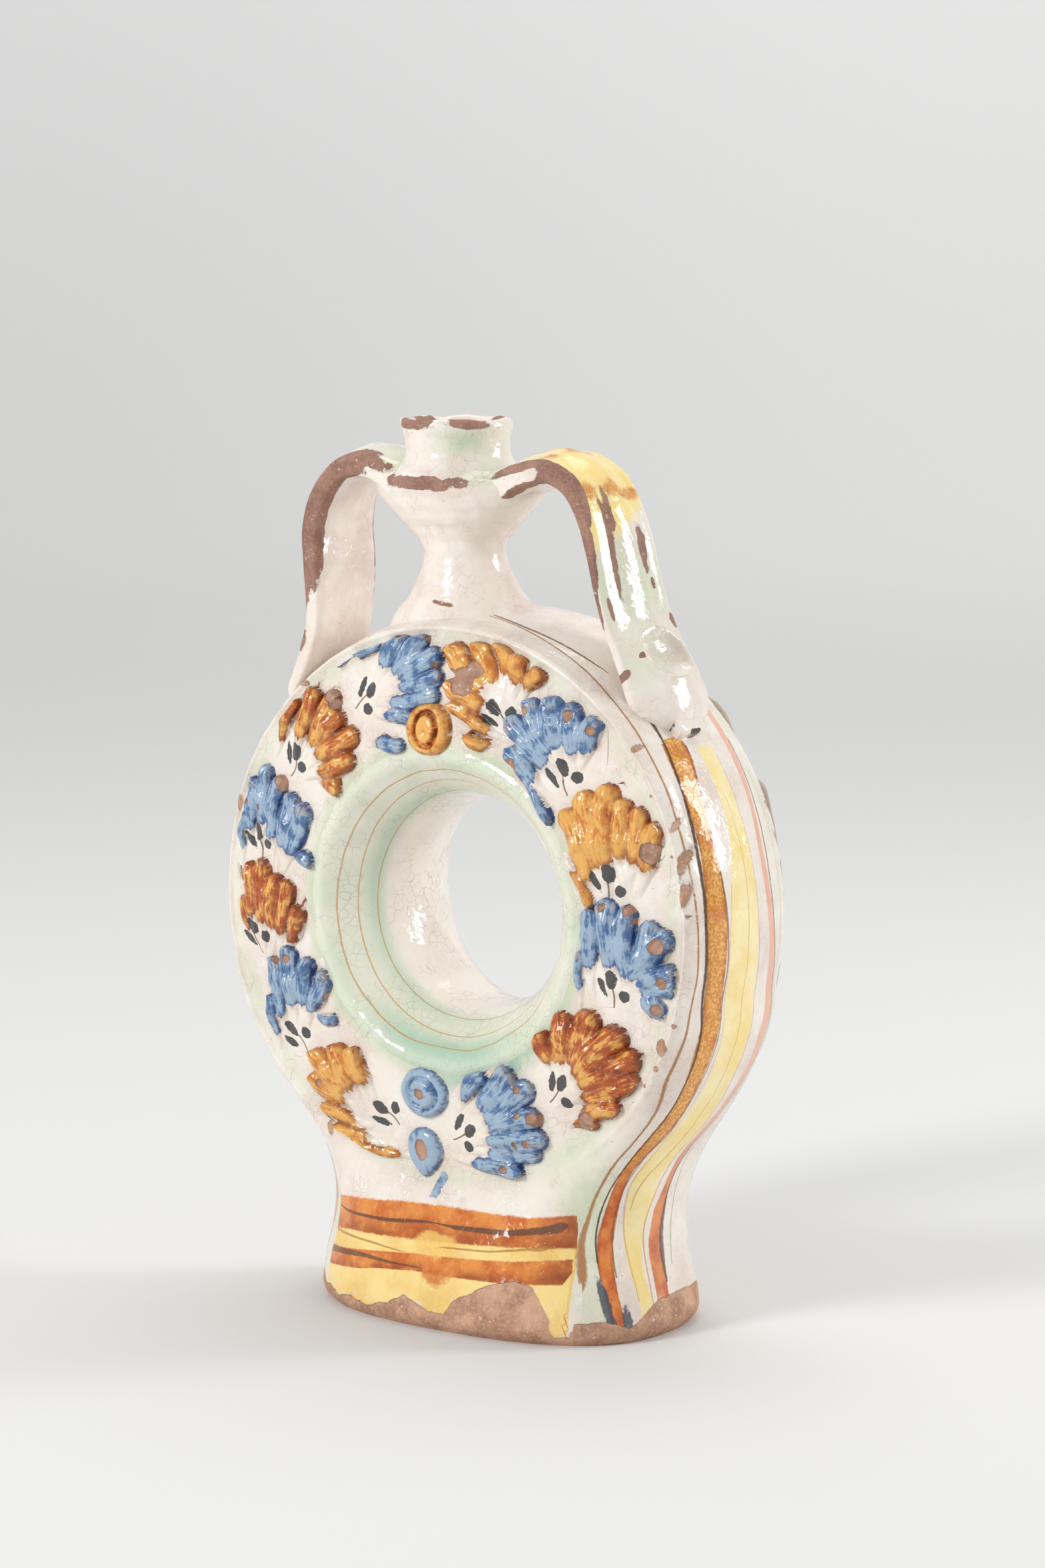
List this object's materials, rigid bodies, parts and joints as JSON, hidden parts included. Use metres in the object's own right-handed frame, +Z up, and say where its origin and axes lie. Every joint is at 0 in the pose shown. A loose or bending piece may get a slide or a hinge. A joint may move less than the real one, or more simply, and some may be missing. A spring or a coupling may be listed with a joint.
{
  "type": "ring flask",
  "caption": "Hollow ring-shaped flask on an oval foot, with a narrow neck and spout, ribbed strap handles, pierced cord lugs and pressed leaf relief.",
  "frame": {"origin": "centre of the flask's outline at the underside of its foot", "axes": "+Z up along the flask, X across the ring and Y through the ring's hole, with the shown face towards -Y"},
  "size_m": [0.197, 0.0906, 0.3],
  "materials": {
    "cream_glaze": "glossy cream tin glaze, crackled, with painted lines and pale copper green tints",
    "worn_glaze": "glossy cream tin glaze, worn to bare clay on its edges",
    "bore_glaze": "glossy cream tin glaze with a pale green tint at the lips",
    "cobalt_glaze": "glossy cobalt blue painted on tin glaze",
    "ochre_glaze": "glossy orange ochre painted on tin glaze",
    "bare_clay": "matte unglazed terracotta"
  },
  "bodies": {
    "root": {"front_wall": "cream_glaze", "back_wall": "cream_glaze", "side_band": "cream_glaze", "bore_tube": "bore_glaze", "foot_sole": "bare_clay", "neck": "cream_glaze", "spout": "worn_glaze", "handle_left": "worn_glaze", "handle_right": "worn_glaze", "cord_lug_left": "worn_glaze", "cord_lug_right": "worn_glaze", "leaf_front_right_1": "ochre_glaze", "leaf_front_right_2": "cobalt_glaze", "leaf_front_right_3": "ochre_glaze", "leaf_front_right_4": "cobalt_glaze", "leaf_front_right_5": "ochre_glaze", "leaf_front_right_6": "cobalt_glaze", "leaf_front_left_1": "cobalt_glaze", "leaf_front_left_2": "ochre_glaze", "leaf_front_left_3": "cobalt_glaze", "leaf_front_left_4": "ochre_glaze", "leaf_front_left_5": "cobalt_glaze", "leaf_front_left_6": "ochre_glaze", "boss_front_top": "ochre_glaze", "boss_front_bottom": "cobalt_glaze", "boss_front_drop": "cobalt_glaze", "leaf_back_right_1": "ochre_glaze", "leaf_back_right_2": "cobalt_glaze", "leaf_back_right_3": "ochre_glaze", "leaf_back_right_4": "cobalt_glaze", "leaf_back_right_5": "ochre_glaze", "leaf_back_right_6": "cobalt_glaze", "leaf_back_left_1": "cobalt_glaze", "leaf_back_left_2": "ochre_glaze", "leaf_back_left_3": "cobalt_glaze", "leaf_back_left_4": "ochre_glaze", "leaf_back_left_5": "cobalt_glaze", "leaf_back_left_6": "ochre_glaze", "boss_back_top": "ochre_glaze", "boss_back_bottom": "cobalt_glaze", "boss_back_drop": "cobalt_glaze"}
  },
  "joints": []
}
